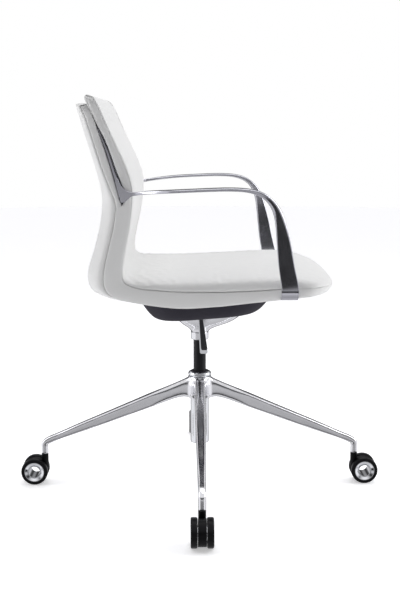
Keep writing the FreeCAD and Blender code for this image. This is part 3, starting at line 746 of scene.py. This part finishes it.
class CHAIR_OT_pads(Operator):
    """Make the seat and back pads as one leather cover"""
    bl_idname = "chair.pads"
    bl_label = "Seat and back pads"

    def execute(self, context):
        settings = context.scene.chair_leather
        grid = pad_grid(7.0, 75)
        rows, columns = grid.shape[:2]
        normals = -grid_normals(grid)
        inner = np.zeros((rows, columns), bool)
        inner[len(PAD_LIP) + 3:-3, 3:-3] = True
        creased = draw_creases(grid.reshape(-1, 3), normals.reshape(-1, 3)).reshape(grid.shape)
        grid = np.where(inner[:, :, None], creased, grid)
        pad = slab_from("seat_and_back_pad", skirted(grid, SEAM_DEPTH), PAD_THICK)
        points = np.array([v.co for v in pad.data.vertices]) / MM
        front = {tuple(np.round(p, 1)) for p in grid[inner]}
        hold = [FREE if tuple(np.round(p, 1)) in front else 1.0 for p in points]
        if hold.count(FREE) < inner.sum() * 0.6:
            raise RuntimeError("the pad's free points were not found")
        simulate(pad, hold, settings.frames, settings.puff)
        soften(pad)
        dress(pad, "seat", "cushion_leather", finish("cushion_leather"))
        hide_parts("back_cushion", "seat_cushion")
        return {"FINISHED"}


class CHAIR_OT_shell(Operator):
    """Make the outer shell's leather, its side bands, seams and inner filler"""
    bl_idname = "chair.shell"
    bl_label = "Outer shell and side bands"

    def execute(self, context):
        grid = shell_grid(8.0, 61)
        whole = skirted(np.concatenate([self.top_rows(grid[0]), grid], axis=0), SEAM_DEPTH)
        rear = mesh_object("shell_cover", whole.reshape(-1, 3), grid_faces(*whole.shape[:2]))
        soften(rear)
        dress(rear, "seat", "shell_leather", finish("shell_leather"))
        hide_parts("outer_shell")
        upper, lower = seam_lines(SLOT_END, 6.0)
        band = band_grid(upper, lower)
        self.meet_slot(band)
        side = mesh_object("side_band", band.reshape(-1, 3), grid_faces(*band.shape[:2]))
        soften(side)
        dress(side, "seat", "shell_leather", finish("shell_leather"))
        for label, sign in (("right", -1), ("left", 1)):
            self.make_prongs(label, sign)
        self.make_filler()
        self.make_threads()
        return {"FINISHED"}

    def meet_slot(self, band):
        """Draws the ends of the side band up to the foot of each slot."""
        columns = band.shape[1]
        reach = 1 - np.abs(2 * np.linspace(0, 1, columns) - 1)
        for rows, ends in ((range(4), 0), (range(-1, -5, -1), -1)):
            gap = np.array(SLOT_FOOT) - (band[ends, 0, [0, 2]] + band[ends, -1, [0, 2]]) / 2
            for step, row in enumerate(rows):
                share = (1 - step / 4) ** 2
                band[row, :, 0] += gap[0] * share * reach
                band[row, :, 2] += gap[1] * share * reach

    def make_prongs(self, label, sign):
        """Two strips of leather beside the arm's slot, whose inner rims turn down into it."""
        stations = evenly(0, SLOT_END, 6.0, FRONT_SEAM)
        for part, outer_line, inner_line in (("front", FRONT_SEAM, SLOT_FRONT),
                                             ("rear", REAR_SEAM, SLOT_REAR)):
            outer = along(outer_line, stations)
            inner = along(inner_line, stations / SLOT_END * (len(inner_line) - 1))
            drop = 0 if part == "front" else SHELL_DROP
            rows = []
            for a, b in zip(outer, inner):
                width_a, width_b = half_width(a[1] + drop), half_width(b[1] + drop)
                strip = [(a[0], a[1], width_a - SEAM_DEPTH - FLANGE), (a[0], a[1], width_a - SEAM_DEPTH)]
                for w in (0.12, 0.3, 0.5, 0.7, 0.88):
                    strip.append((a[0] + (b[0] - a[0]) * w, a[1] + (b[1] - a[1]) * w,
                                  width_a + (width_b - width_a) * w + 1.0 * math.sin(math.pi * w)))
                turn = 0.3 * unit(a - b)
                strip.append((b[0], b[1], width_b - SLOT_RIMS[0]))
                strip.append((b[0] - turn[0], b[1] - turn[1], width_b - SLOT_RIMS[1]))
                strip.append((b[0], b[1], width_b - SLOT_RIMS[2]))
                rows.append([(x, sign * y, z) for x, z, y in strip])
            lid = [(x, y - sign * FLANGE, z - 2.0) for x, y, z in rows[0]]
            rows.insert(0, lid)
            points = np.array(rows)
            slot = "cushion_leather" if part == "front" else "shell_leather"
            prong = mesh_object("side_band_%s_%s" % (part, label), points.reshape(-1, 3),
                                grid_faces(*points.shape[:2]))
            soften(prong)
            dress(prong, "seat", slot, finish("shell_leather"))

    def top_rows(self, top):
        """Leather from the gap behind the pad over the shell's top edge, down to the rear's first row."""
        spread = top[:, 1] / np.abs(top[:, 1]).max()
        rows = []
        for z in (815.0, 828.0, 840.0):
            x = by_height(SLOT_REAR, z) - 0.4
            width = half_width(z) - 0.6
            rows.append(np.stack([np.full(len(top), x), spread * width, np.full(len(top), z)], axis=1))
        for share, rise in ((0.97, 0.0), (0.88, 2.0), (0.60, 3.2), (0.25, 3.2), (0.08, 2.0)):
            x = top[:, 0] + (SLOT_REAR[0][0] - top[:, 0]) * share
            z = top[:, 2] + (SLOT_REAR[0][1] - top[:, 2]) * share
            z_cap = z + rise * (1 - np.abs(spread) ** 8)
            rows.append(np.stack([x, spread * (half_width(z + SHELL_DROP) - 0.3), z_cap], axis=1))
        return np.array(rows)

    def make_filler(self):
        """Near-black inner body of painted shade that closes the view through the slots."""
        stations = evenly(0.6, LAST, 14.0, FRONT_SEAM)
        pad, shell = along(FRONT_SEAM, stations), along(REAR_SEAM, stations)
        rows = []
        for a, b in zip(pad, shell):
            near, far = a + (b - a) * 0.16, b + (a - b) * 0.16
            width = SLOT_FLOOR - 2.0
            rows.append([(near[0], -width, near[1]), (near[0], width, near[1]),
                         (far[0], width, far[1]), (far[0], -width, far[1])])
        points = np.array(rows).reshape(-1, 3)
        filler = mesh_object("inner_filler", points, ring_faces(len(rows), 4), smooth=False)
        dress(filler, "seat", "shell_leather", finish("inner_felt"))

    def make_threads(self):
        """Thread at the bottom of both seams."""
        upper, lower = seam_lines(0.15, 5.0)
        for label, line in (("pad", upper), ("shell", lower)):
            inset = line.copy()
            middle = np.abs(inset[:, 1]) > HALF_WIDTH - 60
            inset[:, 1] -= np.sign(inset[:, 1]) * np.where(middle, 0.9, 0.3)
            inset[:, 0] -= np.where(inset[:, 0] > CORNER_X + 40, 1.3, 0.0)
            cord = tube("seam_thread_" + label, inset, THREAD_RADIUS)
            dress(cord, "seat", "shell_leather", finish("seam_thread"))


class CHAIR_OT_slot_trims(Operator):
    """Make the ribbed strips in the back's side slots"""
    bl_idname = "chair.slot_trims"
    bl_label = "Slot trims"

    def execute(self, context):
        for label, sign in (("right", -1), ("left", 1)):
            heights = np.arange(*TRIM_HEIGHTS)
            front = by_height(SLOT_FRONT, heights) - 0.4
            rear = by_height(SLOT_REAR, heights) + 0.4
            rows = []
            for z, a, b in zip(heights, front, np.minimum(rear, front - 0.6)):
                fin = min(4.0, max(1.6, a - b - 6.5))
                rib = RIB_HEIGHT * (0.5 + 0.5 * math.cos(2 * math.pi * z / RIB_PITCH)) ** 2
                face = SLOT_FLOOR + 1.6 + rib
                wall = min(face + 7.5, half_width(z) - 2.2) if rib > 0.7 else face + 3.0
                section = [(a, SLOT_FLOOR - 1, z), (a, wall, z), (a - fin, wall, z - 0.4),
                           (a - fin - 0.4, face, z - 1.0), ((a + b) / 2 - 1, face + 0.3, z - 1.5),
                           (b, face, z - 3), (b, SLOT_FLOOR - 1, z - 3)]
                rows.append([(x, sign * y, height) for x, y, height in section])
            points = np.array(rows)
            trim = mesh_object("ribbed_trim_" + label, points.reshape(-1, 3), grid_faces(*points.shape[:2]))
            dress(trim, "seat", "slot_trim", finish("slot_trim"))
            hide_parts("slot_trim_" + label)
        return {"FINISHED"}


# ---------- metal and plastic


def ease(thing, rounds, held=""):
    """Smoothing, all over or by a vertex group."""
    smooth = thing.modifiers.new("ease", "SMOOTH")
    smooth.factor = 0.5
    smooth.iterations = rounds
    smooth.vertex_group = held
    apply_all(thing)


def share_of(value):
    return min(1.0, max(0.0, value))


def cast(name, source, voxel, body, slot):
    """Copy of a CAD node remeshed and smoothed, so that its inner corners are soft as on a casting;
    near the hub they run together more."""
    thing = placed(name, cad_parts[source].data.copy())
    voxels = thing.modifiers.new("voxels", "REMESH")
    voxels.mode = "VOXEL"
    voxels.voxel_size = voxel
    voxels.use_smooth_shade = True
    ease(thing, CAST_ROUNDS)
    near = thing.vertex_groups.new(name="near_middle")
    for vertex in thing.data.vertices:
        far = math.hypot(vertex.co.x, vertex.co.y)
        share = share_of((HUB_REACH - far) / (HUB_REACH * 0.5)) * share_of((HUB_TOP - vertex.co.z) / 0.008)
        if share > 0:
            near.add([vertex.index], share, "REPLACE")
    ease(thing, HUB_ROUNDS, near.name)
    thing.vertex_groups.clear()
    dress(thing, body, slot, finish(slot))
    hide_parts(source)


class CHAIR_OT_base(Operator):
    """Make the cast star base, the hub's ring and the lift's tube"""
    bl_idname = "chair.base"
    bl_label = "Star base"

    def execute(self, context):
        cast("star_casting", "base_star", context.scene.chair_metal.fillet, "base", "polished_aluminium")
        finish_nodes(["hub_ring", "lift_tube"], "chrome")
        finish_nodes(["dust_collar", "guide_bush"], "black_plastic")
        return {"FINISHED"}


class CHAIR_OT_lift(Operator):
    """Finish the gas lift, the housing and what they hold"""
    bl_idname = "chair.lift"
    bl_label = "Gas lift and housing"

    def execute(self, context):
        finish_nodes(["gas_cylinder"], "black_enamel")
        finish_nodes(["tilt_housing"], "polished_aluminium")
        finish_nodes(["torsion_bushes"], "rubber")
        finish_nodes(["piston_rod", "thrust_bearing", "rod_clip", "tilt_pin", "lever_pin", "valve_pin"],
                     "steel")
        return {"FINISHED"}


class CHAIR_OT_lever(Operator):
    """Finish the height lever"""
    bl_idname = "chair.lever"
    bl_label = "Height lever"

    def execute(self, context):
        finish_nodes(["lever_arm"], "steel")
        finish_nodes(["lever_paddle_frame"], "chrome")
        finish_nodes(["lever_paddle_grip"], "lever_grip")
        return {"FINISHED"}


class CHAIR_OT_arms(Operator):
    """Finish the armrests and their screws"""
    bl_idname = "chair.arms"
    bl_label = "Armrests"

    def execute(self, context):
        finish_nodes(["arm_right", "arm_left"], "arm_metal")
        finish_nodes(["arm_screws"], "fastener_steel")
        return {"FINISHED"}


class CHAIR_OT_underside(Operator):
    """Finish the pan, plate, bolts and boards under and inside the seat"""
    bl_idname = "chair.underside"
    bl_label = "Under-seat pan and plate"

    def execute(self, context):
        finish_nodes(["under_seat_pan"], "black_plastic")
        finish_nodes(["seat_plate", "plate_bolts"], "steel")
        finish_nodes(["seat_board", "back_board"], "board")
        return {"FINISHED"}


class CHAIR_OT_castors(Operator):
    """Finish the four open-centre castors"""
    bl_idname = "chair.castors"
    bl_label = "Castors"

    def execute(self, context):
        for index in range(1, 5):
            name = "castor_%d_" % index
            finish_nodes([name + "fork"], "castor_black")
            finish_nodes([name + "stem"], "steel")
            finish_nodes([name + "sleeve", name + "rim_left", name + "rim_right"], "chrome")
            finish_nodes([name + "tyre_left", name + "tyre_right"], "castor_tyre")
        return {"FINISHED"}


# ---------- studio


def area_light(name, place, size, power):
    """Rectangular light that faces the middle of the chair."""
    lamp = bpy.data.lights.new(name, "AREA")
    lamp.shape = "RECTANGLE"
    lamp.size, lamp.size_y = size
    lamp.energy = power
    thing = placed(name, lamp)
    thing.location = place
    thing.rotation_euler = (Vector(LIGHT_AIM) - Vector(place)).to_track_quat("-Z", "Y").to_euler()


class CHAIR_OT_studio(Operator):
    """Set up the pale floor, the soft lights and the camera"""
    bl_idname = "chair.studio"
    bl_label = "Studio"

    def execute(self, context):
        studio = context.scene.chair_studio
        self.make_floor(tuple(studio.floor_colour))
        self.make_world(context.scene)
        area_light("key_above", KEY_PLACE, (1.8, 1.8), studio.key)
        for name, place, power in STRIPS:
            area_light(name, place, (0.6, 1.6), power)
        camera = bpy.data.cameras.new("studio_camera")
        camera.lens = studio.lens
        camera.sensor_width = 36.0
        camera.clip_end = 60.0
        thing = placed("studio_camera", camera)
        thing.location = CAMERA_PLACE
        thing.rotation_euler = Vector(CAMERA_LOOK).to_track_quat("-Z", "Y").to_euler()
        context.scene.camera = thing
        context.scene.view_settings.view_transform = "Standard"
        return {"FINISHED"}

    def make_floor(self, colour):
        """Pale round floor just under the castors."""
        points = [(0.0, 0.0, FLOOR_Z / MM)]
        for radius in FLOOR_RINGS:
            for k in range(FLOOR_SPOKES):
                a = 2 * math.pi * k / FLOOR_SPOKES
                points.append((radius * math.cos(a) / MM, radius * math.sin(a) / MM, FLOOR_Z / MM))
        faces = [(0, 1 + k, 1 + (k + 1) % FLOOR_SPOKES) for k in range(FLOOR_SPOKES)]
        for ring in range(len(FLOOR_RINGS) - 1):
            a = 1 + ring * FLOOR_SPOKES
            b = a + FLOOR_SPOKES
            for k in range(FLOOR_SPOKES):
                after = (k + 1) % FLOOR_SPOKES
                faces.append((a + k, b + k, b + after, a + after))
        floor = mesh_object("studio_floor", points, faces)
        material, tree, shader = blank("floor_paint")
        skin = effect(tree, moulded_skin, Scale=90.0, Base=0.5, Spread=0.1)
        surface(tree, shader, mixed(tree, skin.outputs["Height"], colour, shaded(colour, 0.995)), skin)
        shader.inputs["Emission Color"].default_value = (1, 1, 1, 1)
        shader.inputs["Emission Strength"].default_value = FLOOR_GLOW
        floor.data.materials.append(material)
        floor.visible_glossy = False

    def make_world(self, scene):
        """White to the camera, dimmer light from the front, and in reflections bright sides and a ramp over
        height."""
        world = bpy.data.worlds.new("studio_world")
        scene.world = world
        world.use_nodes = True
        tree = world.node_tree
        tree.nodes.clear()
        split = node(tree, "ShaderNodeSeparateXYZ")
        joined(tree, node(tree, "ShaderNodeTexCoord").outputs["Generated"], split.inputs[0])
        lit = node(tree, "ShaderNodeMix", data_type="RGBA", blend_type="LIGHTEN")
        lit.inputs[0].default_value = 1.0
        joined(tree, self.ramp(tree, split.outputs["Z"], HEIGHT_RAMP), lit.inputs[6])
        aside = arithmetic(tree, "ABSOLUTE", split.outputs["X"], 0.0)
        joined(tree, self.ramp(tree, aside, SIDE_RAMP), lit.inputs[7])
        soft = self.backdrop(tree, self.ramp(tree, split.outputs["Y"], FRONT_RAMP), 0.95)
        sharp = self.backdrop(tree, lit.outputs[2], 1.0)
        seen = node(tree, "ShaderNodeBackground")
        seen.inputs["Color"].default_value = (1, 1, 1, 1)
        gloss = self.by_ray(tree, "Is Glossy Ray", soft, sharp)
        shown = self.by_ray(tree, "Is Camera Ray", gloss, seen.outputs[0])
        joined(tree, shown, node(tree, "ShaderNodeOutputWorld").inputs[0])

    def by_ray(self, tree, kind, other, chosen):
        """The chosen backdrop for one kind of ray, and the other for the rest."""
        mix = node(tree, "ShaderNodeMixShader")
        joined(tree, node(tree, "ShaderNodeLightPath").outputs[kind], mix.inputs[0])
        joined(tree, other, mix.inputs[1])
        joined(tree, chosen, mix.inputs[2])
        return mix.outputs[0]

    def ramp(self, tree, source, stops):
        """Grey ramp over a direction from -1 to 1, with its stops given from 0 to 1."""
        made = node(tree, "ShaderNodeValToRGB")
        joined(tree, arithmetic(tree, "ADD", times(tree, source, 0.5), 0.5), made.inputs[0])
        elements = made.color_ramp.elements
        while len(elements) < len(stops):
            elements.new(0.5)
        for element, (place, value) in zip(elements, stops):
            element.position = place
            element.color = (value, value, value * 1.03, 1)
        return made.outputs[0]

    def backdrop(self, tree, colour, strength):
        made = node(tree, "ShaderNodeBackground")
        made.inputs["Strength"].default_value = strength
        joined(tree, colour, made.inputs["Color"])
        return made.outputs[0]


# ---------- add-on


STEPS = [CHAIR_OT_studio, CHAIR_OT_pads, CHAIR_OT_shell, CHAIR_OT_slot_trims, CHAIR_OT_base, CHAIR_OT_lift,
         CHAIR_OT_lever, CHAIR_OT_arms, CHAIR_OT_underside, CHAIR_OT_castors]


class CHAIR_PT_panel(Panel):
    """Settings and steps of the chair"""
    bl_label = "Swivel Office Chair"
    bl_idname = "CHAIR_PT_panel"
    bl_space_type = "VIEW_3D"
    bl_region_type = "UI"
    bl_category = "Chair"

    def draw(self, context):
        for settings in (context.scene.chair_leather, context.scene.chair_metal, context.scene.chair_studio):
            for name in settings.__annotations__:
                self.layout.prop(settings, name)
        for step in STEPS:
            self.layout.operator(step.bl_idname)


SETTINGS = [("chair_leather", ChairLeather), ("chair_metal", ChairMetal), ("chair_studio", ChairStudio)]


def register():
    for name, kind in SETTINGS:
        bpy.utils.register_class(kind)
        setattr(bpy.types.Scene, name, PointerProperty(type=kind))
    for kind in (*STEPS, CHAIR_PT_panel):
        bpy.utils.register_class(kind)


def unregister():
    for kind in (CHAIR_PT_panel, *STEPS[::-1]):
        bpy.utils.unregister_class(kind)
    for name, kind in SETTINGS[::-1]:
        delattr(bpy.types.Scene, name)
        bpy.utils.unregister_class(kind)


def main():
    register()
    for step in STEPS:
        family, action = step.bl_idname.split(".")
        getattr(getattr(bpy.ops, family), action)()


if __name__ == "__main__":
    main()
